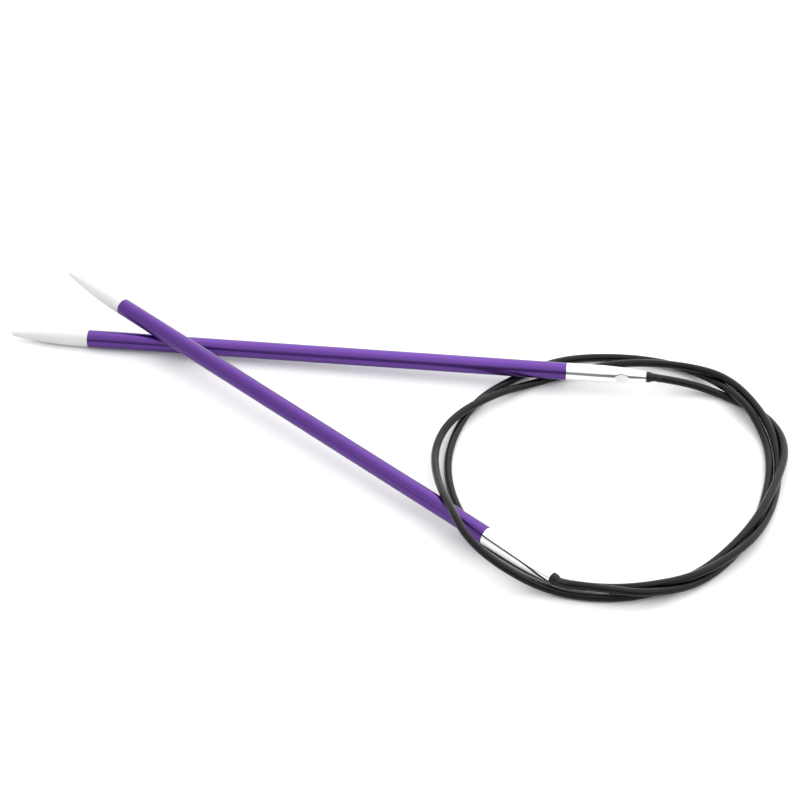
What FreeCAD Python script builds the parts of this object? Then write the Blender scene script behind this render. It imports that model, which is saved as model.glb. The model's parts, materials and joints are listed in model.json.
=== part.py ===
import FreeCAD, Part
import math
import os

V = FreeCAD.Vector
os.makedirs("parts", exist_ok=True)

# ---------------------------------------------------------------- driving dimensions, mm
NEEDLE_D = 3.5            # needle size: outside diameter of tip shoulder, shaft and ferrule
NEEDLE_L = 130.05         # rigid needle, point to ferrule mouth
TIP_L = 16.2              # bare metal point
SHAFT_L = 97.9            # coloured shaft
FERRULE_L = NEEDLE_L - TIP_L - SHAFT_L
OGIVE_L = 14.0            # length over which the point swells to the full diameter
POINT_R = 0.62            # radius of the blunted point
CONE_DEG = 6.77           # half angle of the cone behind the ball end
SHAFT_BORE_D = 2.4        # the shaft is a thin-walled tube
SPIGOT_L = 8.0            # how far tip and ferrule are pressed into the shaft
SEAM = 0.12               # broken edge at each end of the shaft
RELIEF_L = 0.65           # the point's shoulder falls away slightly towards the shaft
RELIEF = 0.05
NOSE_L = 9.9              # rounded run-down of the ferrule to its mouth
MOUTH_D = 2.24            # ferrule outside diameter at the mouth
FERRULE_BORE_D = 1.70     # bore that holds the swivel pin
BORE_DEPTH = 10.9         # bore depth from the mouth
DIMPLE_BACK = 4.9         # dimple centre, from the mouth
DIMPLE_R = 4.2            # radius of the press tool that makes the dimple, a short flat crimp
DIMPLE_DEPTH = 0.243
PIN_HEAD_D = 1.60         # swivel pin: 0.05 radial running clearance in the bore
PIN_NECK_D = 0.90         # groove that the inside of the dimple sits in
PIN_SHANK_D = 0.80        # shank that is held in the cord's collar
COLLAR_GAP = 0.10         # running gap, ferrule mouth to collar
COLLAR_D = 2.16           # collar flange
COLLAR_NECK_D = 1.60
CORD_D = 1.55

# ferrule mouths (centre of the mouth) and unit directions from point to mouth
MOUTH_A, DIR_A = (64.392, 12.913, 4.006), (0.99129, -0.13026, 0.01929)
MOUTH_B, DIR_B = (43.136, -43.153, 3.219), (0.74363, -0.66815, -0.02435)
DIMPLE_SIDE_A = (0.0, -0.9877, 0.1564)     # nine degrees above level, toward the front
DIMPLE_SIDE_B = (-0.2927, -0.3260, 0.8988)  # sixty-four degrees above level

# points that the cord's run is drawn through, from collar A to collar B: centre heights
# of 0.8 lie on the surface, 2.5 and over are where a turn lies on another, and the two
# highest points are the hump over needle B
ROUTE = [
    (72.90, 12.96, 2.12), (80.09, 10.62, 0.80), (87.98, 4.35, 0.83), (91.44, -6.66, 1.13),
    (87.30, -18.30, 3.31), (81.37, -28.01, 2.78), (74.66, -35.91, 1.34), (68.98, -40.70, 0.80),
    (61.00, -45.19, 0.82), (52.05, -46.60, 0.83), (42.21, -44.29, 0.86), (33.36, -41.97, 5.15),
    (27.69, -36.14, 7.90), (24.87, -29.29, 9.60), (22.29, -17.30, 9.60), (21.96, -5.82, 5.00),
    (25.64, 2.19, 2.82), (34.12, 9.25, 2.45), (41.76, 14.55, 0.80), (51.30, 18.68, 0.91),
    (61.65, 19.80, 2.21), (72.75, 17.73, 3.21), (81.50, 13.75, 3.13), (87.12, 3.27, 2.77),
    (88.95, -5.54, 1.07), (87.86, -16.08, 0.80), (84.77, -25.78, 1.61), (79.60, -34.00, 2.77),
    (70.06, -42.00, 2.82), (59.96, -44.36, 2.64), (52.01, -44.16, 0.99), (42.89, -42.10, 0.80),
    (34.46, -34.57, 0.80), (29.32, -29.37, 0.96), (25.36, -19.84, 0.80), (24.18, -9.68, 0.85),
    (26.48, 0.21, 0.81), (30.61, 9.51, 0.84), (38.11, 16.20, 0.80), (46.68, 21.78, 0.84),
    (56.60, 23.19, 0.81), (67.58, 21.12, 1.11), (76.51, 17.16, 0.80), (83.37, 6.52, 3.74),
    (86.88, -1.67, 0.80), (86.68, -10.98, 1.07), (84.97, -19.40, 0.82), (81.37, -29.23, 0.80),
    (75.63, -38.05, 0.80), (68.31, -43.96, 1.24), (59.06, -47.34, 3.19), (52.01, -45.94, 2.56),
]
KINK_OUT = 1.9            # on the needle's axis, from the mouth: where the collar bends
COLLAR_TAIL = 1.2         # straight end of the collar past its bend
ARC_SHARE = 0.45          # share of the shorter run that each bend takes


def unit(v):
    v = V(*v)
    return v.normalize()


def revolved(points):
    """Solid of revolution about local +X; points are (x, r) or (x, r, 'arc', xm, rm)."""
    edges = []
    last = points[0]
    for p in points[1:]:
        a, b = V(last[0], last[1], 0), V(p[0], p[1], 0)
        if len(p) == 5:
            edges.append(Part.Arc(a, V(p[3], p[4], 0), b).toShape())
        else:
            edges.append(Part.LineSegment(a, b).toShape())
        last = p
    edges.append(Part.LineSegment(V(last[0], last[1], 0), V(points[0][0], points[0][1], 0)).toShape())
    face = Part.Face(Part.Wire(edges))
    return face.revolve(V(0, 0, 0), V(1, 0, 0), 360)


def rod(x0, x1, d):
    return Part.makeCylinder(d / 2.0, x1 - x0, V(x0, 0, 0), V(1, 0, 0))


# ---------------------------------------------------------------- one needle, local +X from point to mouth
R = NEEDLE_D / 2.0
X_SHAFT = TIP_L
X_FERRULE = TIP_L + SHAFT_L
X_BORE = NEEDLE_L - BORE_DEPTH
X_DIMPLE = NEEDLE_L - DIMPLE_BACK


def tangent_arc_r(x, x_full, x_end, r_end):
    """Radius on an arc that leaves the full diameter tangentially at x_full."""
    run, drop = abs(x_end - x_full), R - r_end
    big = (run * run + drop * drop) / (2.0 * drop)
    return R - (big - math.sqrt(big * big - (x - x_full) ** 2))


def make_tip():
    bore_r = SHAFT_BORE_D / 2.0
    # a ball end, a straight cone tangent to it, then an arc tangent to cone and shoulder
    slope = math.radians(CONE_DEG)
    x_ball = POINT_R * (1.0 - math.sin(slope))
    r_ball = POINT_R * math.cos(slope)
    mid = math.radians((90.0 + CONE_DEG) / 2.0)
    ball_mid = (POINT_R * (1.0 - math.sin(mid)), POINT_R * math.cos(mid))
    # the cone's end follows from both tangencies
    rise = R - r_ball
    t, h = math.tan(slope), math.tan(slope / 2.0)
    x_cone = (rise + t * x_ball - h * OGIVE_L) / (t - h)
    r_cone = r_ball + t * (x_cone - x_ball)
    big = (OGIVE_L - x_cone) / math.sin(slope)
    xm = OGIVE_L - big * math.sin(slope / 2.0)
    rm = R - big * (1.0 - math.cos(slope / 2.0))
    return revolved([
        (0.0, 0.0),
        (x_ball, r_ball, "arc", ball_mid[0], ball_mid[1]),
        (x_cone, r_cone),
        (OGIVE_L, R, "arc", xm, rm),
        (TIP_L - RELIEF_L, R),
        (TIP_L, R - RELIEF),
        (TIP_L, bore_r),
        (TIP_L + SPIGOT_L - 0.3, bore_r),
        (TIP_L + SPIGOT_L, bore_r - 0.3),
        (TIP_L + SPIGOT_L, 0.0),
    ])


def make_shaft():
    bore_r = SHAFT_BORE_D / 2.0
    return revolved([
        (X_SHAFT, bore_r),
        (X_SHAFT, R - SEAM),
        (X_SHAFT + SEAM, R),
        (X_FERRULE - SEAM, R),
        (X_FERRULE, R - SEAM),
        (X_FERRULE, bore_r),
    ])


def make_ferrule(side):
    """side is the dimple's direction, square to local X."""
    bore_r, mouth_r = FERRULE_BORE_D / 2.0, MOUTH_D / 2.0
    x_nose = NEEDLE_L - NOSE_L
    spig = SHAFT_BORE_D / 2.0
    xm = (x_nose + NEEDLE_L - 0.06) / 2.0
    rm = tangent_arc_r(xm, x_nose, NEEDLE_L - 0.06, mouth_r)
    body = revolved([
        (X_FERRULE - SPIGOT_L, 0.0),
        (X_FERRULE - SPIGOT_L, spig - 0.3),
        (X_FERRULE - SPIGOT_L + 0.3, spig),
        (X_FERRULE, spig),
        (X_FERRULE, R - SEAM),
        (X_FERRULE + SEAM, R),
        (x_nose, R),
        (NEEDLE_L - 0.06, mouth_r, "arc", xm, rm),
        (NEEDLE_L, mouth_r - 0.06),
        (NEEDLE_L, bore_r),
        (X_BORE, bore_r),
        (X_BORE, 0.0),
    ])
    # the dimple: a flat crimp pressed in from outside, its inner face stands into the bore
    r_out = tangent_arc_r(X_DIMPLE, x_nose, NEEDLE_L - 0.06, mouth_r)
    r_in = PIN_NECK_D / 2.0 + 0.15
    centre_r = r_out - DIMPLE_DEPTH + DIMPLE_R
    across = V(1, 0, 0).cross(side)
    c = V(X_DIMPLE, 0, 0) + side * centre_r - across * 5.0
    bump = Part.makeCylinder(centre_r - r_in, 10.0, c, across)
    bump = bump.common(rod(X_DIMPLE - 2.5, X_DIMPLE + 2.5, FERRULE_BORE_D + 0.2))
    body = body.fuse(bump)
    body = body.cut(Part.makeCylinder(DIMPLE_R, 10.0, c, across))
    return body.removeSplitter()


def make_pin():
    head, neck, shank = PIN_HEAD_D / 2.0, PIN_NECK_D / 2.0, PIN_SHANK_D / 2.0
    x0 = X_BORE + 0.6
    g0, g1 = X_DIMPLE - 1.9, X_DIMPLE + 1.9
    x_head_end = NEEDLE_L - 0.3
    x_end = NEEDLE_L + KINK_OUT - 0.5
    return revolved([
        (x0, 0.0),
        (x0, head - 0.15),
        (x0 + 0.15, head),
        (g0, head),
        (g0 + 0.15, neck),
        (g1 - 0.15, neck),
        (g1, head),
        (x_head_end, head),
        (x_head_end, shank),
        (x_end, shank),
        (x_end, 0.0),
    ])


def make_collar(tail_dir):
    """Flanged collar at the cord's end; tail_dir is the cord's first direction, local."""
    fl, nk = COLLAR_D / 2.0, COLLAR_NECK_D / 2.0
    x0 = NEEDLE_L + COLLAR_GAP
    xk = NEEDLE_L + KINK_OUT
    body = revolved([
        (x0, 0.0),
        (x0, fl - 0.08),
        (x0 + 0.08, fl),
        (x0 + 0.65, fl),
        (x0 + 1.40, nk),
        (xk, nk),
        (xk, 0.0),
    ])
    knee = Part.makeSphere(nk, V(xk, 0, 0))
    tail = Part.makeCylinder(nk, COLLAR_TAIL, V(xk, 0, 0), tail_dir)
    body = body.fuse([knee, tail])
    hole = rod(x0 - 1.0, NEEDLE_L + KINK_OUT - 0.5, PIN_SHANK_D)
    return body.cut(hole).removeSplitter()


def frame_for(mouth, direction, side):
    """Placement that carries local +X onto the needle's axis, local +Y toward side."""
    x = unit(direction)
    y = V(*side)
    y = y - x * y.dot(x)
    y.normalize()
    z = x.cross(y)
    m = FreeCAD.Matrix(x.x, y.x, z.x, 0, x.y, y.y, z.y, 0, x.z, y.z, z.z, 0, 0, 0, 0, 1)
    base = V(*mouth) - x * NEEDLE_L
    return FreeCAD.Placement(base, FreeCAD.Placement(m).Rotation)


def put(shape, pl):
    s = shape.copy()
    s.Placement = pl.multiply(s.Placement)
    return s


# ---------------------------------------------------------------- the cord's path
def axis_point(mouth, direction, out):
    return V(*mouth) + unit(direction) * out


kink_a = axis_point(MOUTH_A, DIR_A, KINK_OUT)
kink_b = axis_point(MOUTH_B, DIR_B, KINK_OUT)
first, last = V(*ROUTE[0]), V(*ROUTE[-1])
tail_a = (first - kink_a).normalize()
tail_b = (last - kink_b).normalize()
route = [kink_a + tail_a * COLLAR_TAIL] + [V(*p) for p in ROUTE] + [kink_b + tail_b * COLLAR_TAIL]


def cord_wire(points):
    """Straight runs joined by tangent arcs."""
    edges, radii = [], []
    at = points[0]
    for a, p, b in zip(points, points[1:], points[2:]):
        u, w = (a - p), (b - p)
        lu, lw = u.Length, w.Length
        u.normalize()
        w.normalize()
        turn = math.pi - u.getAngle(w)
        cutback = ARC_SHARE * min(lu, lw)
        radius = cutback / math.tan(turn / 2.0)
        mid_dir = (u + w).normalize()
        centre = p + mid_dir * (radius / math.cos(turn / 2.0))
        p0, p1 = p + u * cutback, p + w * cutback
        pm = centre - mid_dir * radius
        edges.append(Part.LineSegment(at, p0).toShape())
        edges.append(Part.Arc(p0, pm, p1).toShape())
        radii.append((radius, math.degrees(turn)))
        at = p1
    edges.append(Part.LineSegment(at, points[-1]).toShape())
    return Part.Wire(edges), radii


wire, radii = cord_wire(route)
profile = Part.Wire([Part.Circle(route[0], (route[1] - route[0]).normalize(), CORD_D / 2.0).toShape()])
cord = wire.makePipeShell([profile], True, False)
if cord.ShapeType != "Solid":
    cord = Part.Solid(cord) if cord.ShapeType == "Shell" else cord.Solids[0]
if cord.Volume < 0:
    cord.reverse()

# ---------------------------------------------------------------- placing the pieces
parts = {"cord": cord}
for tag, mouth, direction, side, tail in (
        ("a", MOUTH_A, DIR_A, DIMPLE_SIDE_A, tail_a),
        ("b", MOUTH_B, DIR_B, DIMPLE_SIDE_B, tail_b)):
    pl = frame_for(mouth, direction, side)
    local_tail = pl.Rotation.inverted().multVec(tail)
    parts["needle_tip_" + tag] = put(make_tip(), pl)
    parts["shaft_" + tag] = put(make_shaft(), pl)
    parts["ferrule_" + tag] = put(make_ferrule(V(0, 1, 0)), pl)
    parts["swivel_pin_" + tag] = put(make_pin(), pl)
    parts["cord_collar_" + tag] = put(make_collar(local_tail), pl)

for name, shape in parts.items():
    shape.exportStep("parts/" + name + ".step")

# ---------------------------------------------------------------- printed checks
length = wire.Length
print("cord length %.2f mm, volume %.2f mm3, section x length %.2f mm3, valid %s" % (
    length, cord.Volume, math.pi * CORD_D ** 2 / 4.0 * length, cord.isValid()))
print("bend radii, mm:", " ".join("%.1f" % r for r, _ in radii))
print("turns, deg:", " ".join("%.0f" % t for _, t in radii))
runs = [(b - a).Length for a, b in zip(route, route[1:])]
print("runs, mm:", " ".join("%.1f" % r for r in runs))
print("smallest bend radius %.1f mm, largest turn %.1f deg, longest run %.1f mm" % (
    min(r for r, _ in radii), max(t for _, t in radii), max(runs)))
for name, shape in parts.items():
    b = shape.BoundBox
    print("%-16s solids %d valid %s vol %.3f box (%.3f %.3f %.3f) (%.3f %.3f %.3f)" % (
        name, len(shape.Solids), shape.isValid(), shape.Volume,
        b.XMin, b.YMin, b.ZMin, b.XMax, b.YMax, b.ZMax))
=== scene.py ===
import json
import math

import bmesh
import bpy
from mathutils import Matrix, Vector


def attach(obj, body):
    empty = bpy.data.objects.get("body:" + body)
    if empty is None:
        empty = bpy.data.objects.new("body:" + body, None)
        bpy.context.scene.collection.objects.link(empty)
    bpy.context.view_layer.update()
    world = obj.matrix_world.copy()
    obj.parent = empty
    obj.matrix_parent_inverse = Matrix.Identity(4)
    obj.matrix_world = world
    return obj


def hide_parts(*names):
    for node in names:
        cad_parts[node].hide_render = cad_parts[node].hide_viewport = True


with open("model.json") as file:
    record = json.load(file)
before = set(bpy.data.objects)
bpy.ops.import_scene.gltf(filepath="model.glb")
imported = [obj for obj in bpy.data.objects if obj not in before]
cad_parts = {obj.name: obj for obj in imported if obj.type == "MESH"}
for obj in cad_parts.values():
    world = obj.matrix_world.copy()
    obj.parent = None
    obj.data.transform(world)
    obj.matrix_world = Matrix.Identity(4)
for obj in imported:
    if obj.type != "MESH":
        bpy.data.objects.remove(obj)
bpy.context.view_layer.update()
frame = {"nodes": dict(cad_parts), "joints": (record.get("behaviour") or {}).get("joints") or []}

MM = 0.001
TENT_LIGHT = 2.0
TENT = ((0.0, 0.09), (0.27, 0.09), (0.36, 0.55), (0.43, 0.92), (0.60, 1.0))
scene = bpy.context.scene
scene.view_settings.view_transform = "Standard"
scene.view_settings.look = "None"
scene.view_settings.exposure = 0.0
scene.view_settings.gamma = 1.0

# ------------------------------------------------------------------ camera
ELEV = math.radians(40.62)
DIST = 0.500
AIM = Vector((0.015292, 0.010484, 0.0))
cam_data = bpy.data.cameras.new("view")
cam_data.sensor_width = 36.0
cam_data.lens = 112.46
cam_data.clip_start = 0.01
cam_data.clip_end = 20.0
cam = bpy.data.objects.new("view", cam_data)
scene.collection.objects.link(cam)
cam.location = AIM + Vector((0.0, -DIST * math.cos(ELEV), DIST * math.sin(ELEV)))
cam.rotation_euler = (math.pi / 2 - ELEV, 0.0, 0.0)
scene.camera = cam


# ------------------------------------------------------------------ node helpers
class Mat:
    """A material with a principled shader and a few short ways to add nodes."""

    def __init__(self, name, color, rough, metallic=0.0, **sockets):
        self.m = bpy.data.materials.new(name)
        self.m.use_nodes = True
        self.t = self.m.node_tree
        self.b = self.t.nodes["Principled BSDF"]
        self.b.inputs["Base Color"].default_value = (*color, 1.0)
        self.b.inputs["Roughness"].default_value = rough
        self.b.inputs["Metallic"].default_value = metallic
        for k, v in sockets.items():
            self.b.inputs[k.replace("_", " ")].default_value = v
        self.coord = self.t.nodes.new("ShaderNodeTexCoord").outputs["Object"]

    def link(self, a, b):
        self.t.links.new(a, b)

    def node(self, kind, **props):
        n = self.t.nodes.new(kind)
        for k, v in props.items():
            setattr(n, k, v)
        return n

    def noise(self, scale, detail=3.0, rough=0.5, stretch=None, turn=None):
        """Noise in the row frame; stretch scales its axes, turn rotates it first."""
        n = self.node("ShaderNodeTexNoise")
        n.inputs["Scale"].default_value = scale
        n.inputs["Detail"].default_value = detail
        n.inputs["Roughness"].default_value = rough
        src = self.coord
        if turn is not None:
            r = self.node("ShaderNodeMapping")
            r.inputs["Rotation"].default_value = turn
            self.link(src, r.inputs["Vector"])
            src = r.outputs["Vector"]
        if stretch is not None:
            s = self.node("ShaderNodeMapping")
            s.inputs["Scale"].default_value = stretch
            self.link(src, s.inputs["Vector"])
            src = s.outputs["Vector"]
        self.link(src, n.inputs["Vector"])
        return n.outputs["Fac"]

    def ramp(self, fac, stops):
        r = self.node("ShaderNodeValToRGB")
        e = r.color_ramp.elements
        while len(e) < len(stops):
            e.new(0.5)
        for el, (p, c) in zip(e, stops):
            el.position = p
            el.color = (*c, 1.0) if len(c) == 3 else c
        self.link(fac, r.inputs["Fac"])
        return r.outputs["Color"]

    def spread(self, fac, low, high):
        m = self.node("ShaderNodeMapRange")
        m.inputs["From Min"].default_value = 0.3
        m.inputs["From Max"].default_value = 0.7
        m.inputs["To Min"].default_value = low
        m.inputs["To Max"].default_value = high
        self.link(fac, m.inputs["Value"])
        return m.outputs["Result"]

    def bump(self, height, distance, strength=1.0, after=None):
        b = self.node("ShaderNodeBump")
        b.inputs["Distance"].default_value = distance
        b.inputs["Strength"].default_value = strength
        self.link(height, b.inputs["Height"])
        if after is not None:
            self.link(after, b.inputs["Normal"])
        return b.outputs["Normal"]


def axis_turn(direction):
    """Mapping rotation that brings a needle's direction onto X."""
    d = Vector(direction).normalized()
    yaw = math.atan2(d.y, d.x)
    return (0.0, 0.0, -yaw)


joints = {j["name"]: j for j in frame["joints"]}
DIR_A = Vector(joints["needle_a_swivel"]["axis"]).normalized()
DIR_B = Vector(joints["needle_b_swivel"]["axis"]).normalized()


# ------------------------------------------------------------------ materials
def cord_material():
    m = Mat("charcoal_nylon", (0.003, 0.003, 0.0035), 0.24, IOR=1.45, Specular_IOR_Level=0.25,
            Specular_Tint=(1.0, 0.95, 0.99, 1.0))
    cloud = m.noise(420.0, 3.0)
    m.link(m.ramp(cloud, [(0.30, (0.0020, 0.0020, 0.0024)), (0.70, (0.0045, 0.0045, 0.0053))]),
           m.b.inputs["Base Color"])
    m.link(m.spread(m.noise(900.0, 2.0), 0.17, 0.28), m.b.inputs["Roughness"])
    fine = m.noise(5200.0, 2.0)
    broad = m.noise(1500.0, 3.0)
    m.link(m.bump(fine, 0.000010, 0.6, m.bump(broad, 0.000024, 0.5)), m.b.inputs["Normal"])
    return m.m


def collar_material():
    m = Mat("black_moulded", (0.005, 0.005, 0.006), 0.34, Specular_IOR_Level=0.26)
    m.link(m.ramp(m.noise(700.0), [(0.3, (0.003, 0.003, 0.0035)), (0.7, (0.007, 0.007, 0.008))]),
           m.b.inputs["Base Color"])
    m.link(m.bump(m.noise(3500.0), 0.00001, 0.5), m.b.inputs["Normal"])
    return m.m


def shaft_material(name, direction, k=1.0):
    turn = axis_turn(direction)
    m = Mat(name, (0.110, 0.047, 0.238), 0.33, 1.0)
    tint = m.noise(60.0, 3.0, 0.6, (0.35, 1.0, 1.0), turn)
    dark, pale = (0.102, 0.043, 0.222), (0.120, 0.052, 0.256)
    # k below 1 darkens the whole base colour: painted shade
    m.link(m.ramp(tint, [(0.30, tuple(k * v for v in dark)), (0.70, tuple(k * v for v in pale))]),
           m.b.inputs["Base Color"])
    drawn = m.noise(2600.0, 3.0, 0.6, (0.010, 1.0, 1.0), turn)
    m.link(m.spread(drawn, 0.26, 0.33), m.b.inputs["Roughness"])
    grain = m.noise(6000.0, 2.0)
    m.link(m.bump(grain, 0.000003, 0.5, m.bump(drawn, 0.0000015, 0.5)), m.b.inputs["Normal"])
    return m.m


def metal_material(name, direction, color, rough, low, high, metallic=1.0, shine=0.5):
    turn = axis_turn(direction)
    m = Mat(name, color, rough, metallic, Specular_IOR_Level=shine)
    c = color
    m.link(m.ramp(m.noise(160.0, 3.0), [(0.30, tuple(0.95 * x for x in c)), (0.70, c)]),
           m.b.inputs["Base Color"])
    turned = m.noise(4200.0, 2.0, 0.5, (1.0, 0.03, 0.03), turn)
    m.link(m.spread(turned, low, high), m.b.inputs["Roughness"])
    m.link(m.bump(turned, 0.000002, 0.4), m.b.inputs["Normal"])
    return m.m


def finish(node, material):
    o = frame["nodes"][node]
    o.data.materials.clear()
    o.data.materials.append(material)


finish("cord_collar_a", collar_material())
finish("cord_collar_b", frame["nodes"]["cord_collar_a"].data.materials[0])
for tag, d in (("a", DIR_A), ("b", DIR_B)):
    # needle B gets a darker copy of the same purple (0.89): painted shade for how the light falls on it
    finish("shaft_" + tag, shaft_material("purple_anodised_" + tag, d, 1.0 if tag == "a" else 0.89))
    finish("needle_tip_" + tag, metal_material("bare_point_" + tag, d, (0.66, 0.66, 0.66), 0.50, 0.46, 0.56, 0.10, 0.35))
    finish("swivel_pin_" + tag, metal_material("pin_steel_" + tag, d, (0.60, 0.60, 0.61), 0.25, 0.2, 0.3))

# ------------------------------------------------------------------ ferrules
# Lathed tube with a spigot inside the shaft, a rounded nose, a bore for the swivel pin and
# a short flat crimp with soft edges that holds the pin; x runs along the needle to the mouth.
MOUTH_PAST_PIVOT = 8.05
SHOULDER_R, MOUTH_R, BORE_R, SPIGOT_R = 1.75, 1.12, 0.85, 1.20
FERRULE_L, NOSE_L, SEAM, LIP = 15.95, 9.9, 0.12, 0.06
CRIMP_TOOL_R, CRIMP_DEPTH, CRIMP_IN = 4.2, 0.243, 0.60


def nose_r(x):
    """Radius of the rounded nose, x from the mouth (zero) back into the needle (negative)."""
    run, drop = NOSE_L - LIP, SHOULDER_R - MOUTH_R
    big = (run * run + drop * drop) / (2.0 * drop)
    d = max(0.0, x + NOSE_L)
    return SHOULDER_R - (big - math.sqrt(big * big - d * d))


def soft_min(a, b, k):
    h = max(k - abs(a - b), 0.0) / k
    return min(a, b) - h * h * k * 0.25


def span(a, b, n):
    return [a + (b - a) * i / n for i in range(n + 1)]


def ferrule_rings(crimp_back):
    """(x, r, kind) rings from the spigot's inner end, over the outside, down the bore."""
    back = -FERRULE_L
    rings = [(back - 8.0, 0.0, ""), (back - 8.0, SPIGOT_R - 0.3, ""), (back - 7.7, SPIGOT_R, ""),
             (back - 0.01, SPIGOT_R, ""), (back, SPIGOT_R, "")]
    rings += [(back, SHOULDER_R - SEAM, ""), (back + SEAM, SHOULDER_R, "")]
    xs = span(back + 0.4, -NOSE_L, 6)
    xs += span(-NOSE_L + 0.4, -crimp_back - 1.75, 10)
    xs += span(-crimp_back - 1.68, -crimp_back + 1.68, 56)
    xs += span(-crimp_back + 1.9, -LIP - 0.04, 12)
    rings += [(x, nose_r(x), "out") for x in xs]
    rings += [(-LIP - 0.01, MOUTH_R, ""), (-LIP * 0.5, MOUTH_R - LIP * 0.15, ""),
              (-LIP * 0.15, MOUTH_R - LIP * 0.5, ""), (0.0, MOUTH_R - LIP, ""),
              (0.0, BORE_R + 0.03, ""), (-0.03, BORE_R, "")]
    rings += [(x, BORE_R, "bore") for x in reversed(span(-crimp_back - 2.2, -0.3, 40))]
    rings += [(-10.9, BORE_R, ""), (-10.9, 0.0, "")]
    return rings


def ferrule(tag, direction, elevation, crimp_back):
    """elevation: how far above level the crimp faces, towards the front, degrees."""
    pivot = Vector(joints["needle_%s_swivel" % tag]["pos_m"]) / MM
    mouth = pivot + direction * MOUTH_PAST_PIVOT
    x_ax = direction
    level = x_ax.cross(Vector((0.0, 0.0, 1.0))).normalized()
    up = level.cross(x_ax).normalized()
    e = math.radians(elevation)
    y_ax = level * math.cos(e) + up * math.sin(e)
    z_ax = x_ax.cross(y_ax)
    crest = nose_r(-crimp_back) - CRIMP_DEPTH
    segs = 176
    verts, rows, pressed = [], [], set()
    for x, r, kind in ferrule_rings(crimp_back):
        if r == 0.0:
            rows.append([len(verts)])
            verts.append((mouth + x_ax * x) * MM)
            continue
        row = []
        for i in range(segs):
            a = 2.0 * math.pi * i / segs
            y, z = r * math.cos(a), r * math.sin(a)
            off = x + crimp_back
            if kind and abs(off) < CRIMP_TOOL_R:
                rise = CRIMP_TOOL_R - math.sqrt(CRIMP_TOOL_R ** 2 - off * off)
                if kind == "out":
                    y = soft_min(y, crest + rise, 0.07)
                else:
                    y = soft_min(y, CRIMP_IN + rise, 0.05)
                if kind == "out" and y > crest + rise - 0.03:
                    pressed.add(len(verts))
            row.append(len(verts))
            verts.append((mouth + x_ax * x + y_ax * y + z_ax * z) * MM)
        rows.append(row)
    faces = []
    for lo, hi in zip(rows, rows[1:]):
        for i in range(segs):
            j = (i + 1) % segs
            if len(lo) == 1:
                faces.append((lo[0], hi[i], hi[j]))
            elif len(hi) == 1:
                faces.append((lo[i], hi[0], lo[j]))
            else:
                faces.append((lo[i], hi[i], hi[j], lo[j]))
    me = bpy.data.meshes.new("ferrule_shell_" + tag)
    me.from_pydata([tuple(v) for v in verts], [], faces)
    shell = bmesh.new()
    shell.from_mesh(me)
    bmesh.ops.recalc_face_normals(shell, faces=shell.faces)
    shell.to_mesh(me)
    shell.free()
    me.polygons.foreach_set("use_smooth", [True] * len(me.polygons))
    me.set_sharp_from_angle(angle=math.radians(32.0))
    o = bpy.data.objects.new("ferrule_shell_" + tag, me)
    scene.collection.objects.link(o)
    me.materials.append(metal_material("bright_ferrule_" + tag, direction, (0.90, 0.90, 0.905),
                                       0.12, 0.09, 0.15))
    # the pressed face is rougher than the turned metal round it, and its darker colour is painted shade
    # standing in for the shaded floor it reflects
    me.materials.append(metal_material("pressed_face_painted_shade_" + tag, direction, (0.70, 0.70, 0.705),
                                       0.24, 0.20, 0.30))
    for poly in me.polygons:
        if all(v in pressed for v in poly.vertices):
            poly.material_index = 1
    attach(o, joints["needle_%s_swivel" % tag]["child"])
    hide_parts("ferrule_" + tag)
    return o


ferrule("a", DIR_A, 13.0, 4.45)
ferrule("b", DIR_B, 72.0, 4.9)

# ------------------------------------------------------------------ cord
CORD_D = 1.55 * MM
ROUTE_MM = [
    (67.43, 12.72, 3.71), (72.90, 13.36, 2.12), (79.99, 11.02, 0.80), (87.89, 5.15, 0.83),
    (90.86, -5.46, 2.04), (86.95, -18.20, 3.31), (81.66, -28.50, 2.79), (74.87, -36.37, 1.74),
    (68.97, -40.69, 0.81), (61.00, -45.19, 0.82), (52.05, -46.40, 0.83), (42.21, -44.29, 0.86),
    (33.36, -41.97, 5.15), (27.59, -36.14, 6.51), (24.67, -29.29, 7.68), (22.09, -17.30, 4.43),
    (21.96, -5.82, 2.21), (25.64, 2.19, 2.82), (34.12, 9.55, 2.45), (41.76, 14.55, 0.80),
    (51.30, 18.68, 0.91), (61.65, 19.80, 2.21), (72.76, 17.43, 3.25), (81.34, 13.52, 3.26),
    (86.97, 3.27, 2.78), (89.08, -5.54, 1.06), (87.76, -16.08, 0.80), (84.77, -25.78, 1.61),
    (79.80, -34.30, 2.77), (70.11, -42.37, 2.83), (59.96, -44.98, 2.65), (52.01, -43.74, 0.99),
    (42.79, -41.65, 0.80), (34.21, -34.77, 0.80), (29.22, -29.47, 0.96), (25.36, -19.84, 0.80),
    (24.18, -9.68, 0.85), (26.18, 0.21, 0.81), (30.61, 9.51, 0.84), (38.11, 16.20, 0.80),
    (46.68, 21.78, 0.84), (56.60, 23.19, 0.81), (67.58, 21.52, 1.11), (76.48, 17.64, 0.79),
    (83.34, 6.50, 3.67), (87.03, -1.67, 0.80), (86.93, -10.98, 1.07), (84.97, -19.40, 0.82),
    (81.38, -29.24, 0.79), (75.47, -37.74, 0.79), (68.32, -43.86, 1.23), (59.06, -47.31, 3.19),
    (52.01, -45.54, 2.88), (45.72, -44.66, 3.08),
]
route = [Vector(p) * MM for p in ROUTE_MM]
curve = bpy.data.curves.new("cord_nylon", "CURVE")
curve.dimensions = "3D"
spline = curve.splines.new("NURBS")
spline.points.add(len(route) - 1)
for p, q in zip(spline.points, route):
    p.co = (*q, 1.0)
spline.order_u = 3
spline.use_endpoint_u = True
spline.resolution_u = 14
spline.use_smooth = True
curve.bevel_depth = CORD_D / 2
curve.bevel_resolution = 7
curve.use_fill_caps = True
cord = bpy.data.objects.new("cord_nylon", curve)
scene.collection.objects.link(cord)
curve.materials.append(cord_material())
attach(cord, "cord_assembly")
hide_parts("cord")

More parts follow.
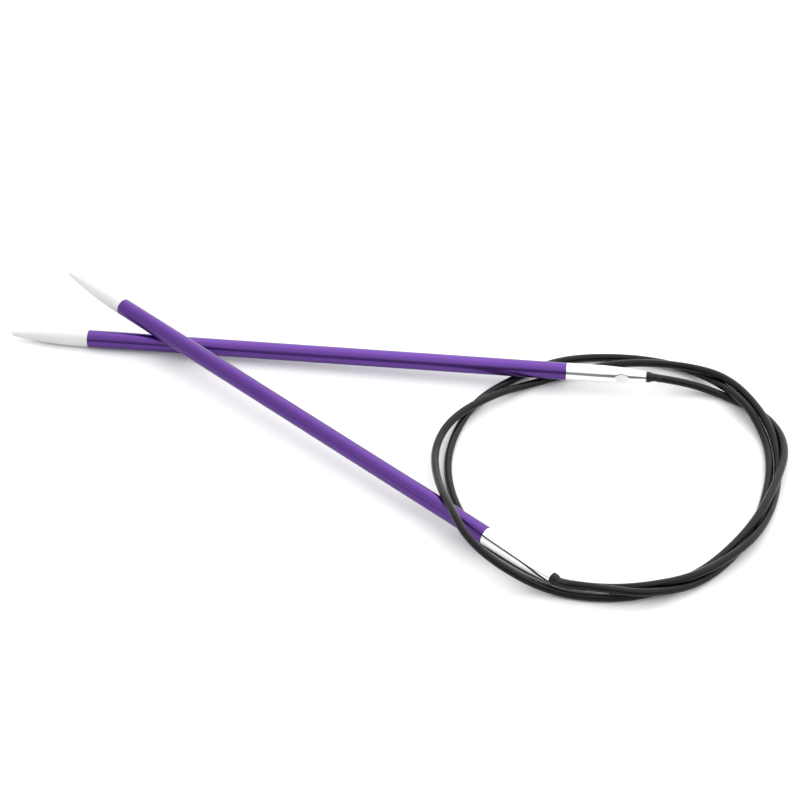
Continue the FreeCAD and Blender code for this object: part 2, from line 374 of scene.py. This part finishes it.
# ------------------------------------------------------------------ floor
bpy.ops.mesh.primitive_grid_add(x_subdivisions=4, y_subdivisions=4, size=6.0, location=(0, 0, 0))
floor = bpy.context.object
floor.name = "floor"
fm = Mat("white_sweep", (0.84, 0.84, 0.842), 0.75)
fm.link(fm.ramp(fm.noise(3.0), [(0.3, (0.83, 0.83, 0.832)), (0.7, (0.85, 0.85, 0.852))]),
        fm.b.inputs["Base Color"])
floor.data.materials.append(fm.m)

# ------------------------------------------------------------------ light
# A bright tent over and behind the object, with the dark side of the room low in front.
world = bpy.data.worlds.new("studio")
scene.world = world
world.use_nodes = True
wt = world.node_tree
bg = wt.nodes["Background"]
bg.inputs["Strength"].default_value = 1.0


def wmath(op, a, b=None, c=None):
    n = wt.nodes.new("ShaderNodeMath")
    n.operation = op
    for i, v in enumerate((a, b, c)):
        if v is None:
            continue
        if isinstance(v, (int, float)):
            n.inputs[i].default_value = v
        else:
            wt.links.new(v, n.inputs[i])
    return n.outputs[0]


sky = wt.nodes.new("ShaderNodeTexCoord").outputs["Generated"]
split = wt.nodes.new("ShaderNodeSeparateXYZ")
wt.links.new(sky, split.inputs[0])
side = wmath("ABSOLUTE", split.outputs["X"])
back = wmath("MAXIMUM", split.outputs["Y"], 0.0)
height = wmath("MULTIPLY_ADD", side, 0.65, split.outputs["Z"])
height = wmath("MULTIPLY_ADD", back, 0.85, height)
tent = wt.nodes.new("ShaderNodeValToRGB")
tent.color_ramp.interpolation = "EASE"
for i, (p, v) in enumerate(TENT):
    stop = tent.color_ramp.elements[0] if i == 0 else tent.color_ramp.elements.new(p)
    stop.position = p
    stop.color = (v, v, v, 1.0)
tent.color_ramp.elements.remove(tent.color_ramp.elements[-1])
wt.links.new(wmath("MULTIPLY", height, 0.5), tent.inputs["Fac"])
lift = wt.nodes.new("ShaderNodeMapRange")
lift.interpolation_type = "SMOOTHSTEP"
for k, v in (("From Min", -0.26), ("From Max", -0.04), ("To Min", 0.14), ("To Max", 0.0)):
    lift.inputs[k].default_value = v
wt.links.new(split.outputs["X"], lift.inputs["Value"])
wt.links.new(wmath("ADD", tent.outputs["Color"], lift.outputs["Result"]), bg.inputs["Color"])
dim = wt.nodes.new("ShaderNodeMapRange")
dim.interpolation_type = "SMOOTHSTEP"
for k, v in (("From Min", -0.26), ("From Max", -0.04), ("To Min", 0.56 * TENT_LIGHT), ("To Max", TENT_LIGHT)):
    dim.inputs[k].default_value = v
wt.links.new(split.outputs["X"], dim.inputs["Value"])
wt.links.new(dim.outputs["Result"], bg.inputs["Strength"])


def area(name, where, aim, size, power, color=(1, 1, 1)):
    d = bpy.data.lights.new(name, "AREA")
    d.shape = "RECTANGLE"
    d.size, d.size_y = size
    d.energy = power
    d.color = color
    o = bpy.data.objects.new(name, d)
    scene.collection.objects.link(o)
    o.location = where
    o.rotation_euler = (Vector(aim) - Vector(where)).to_track_quat("-Z", "Y").to_euler()
    return o


area("key", (0.05, 0.50, 0.80), (0.02, 0.0, 0.0), (1.3, 0.9), 1.6)
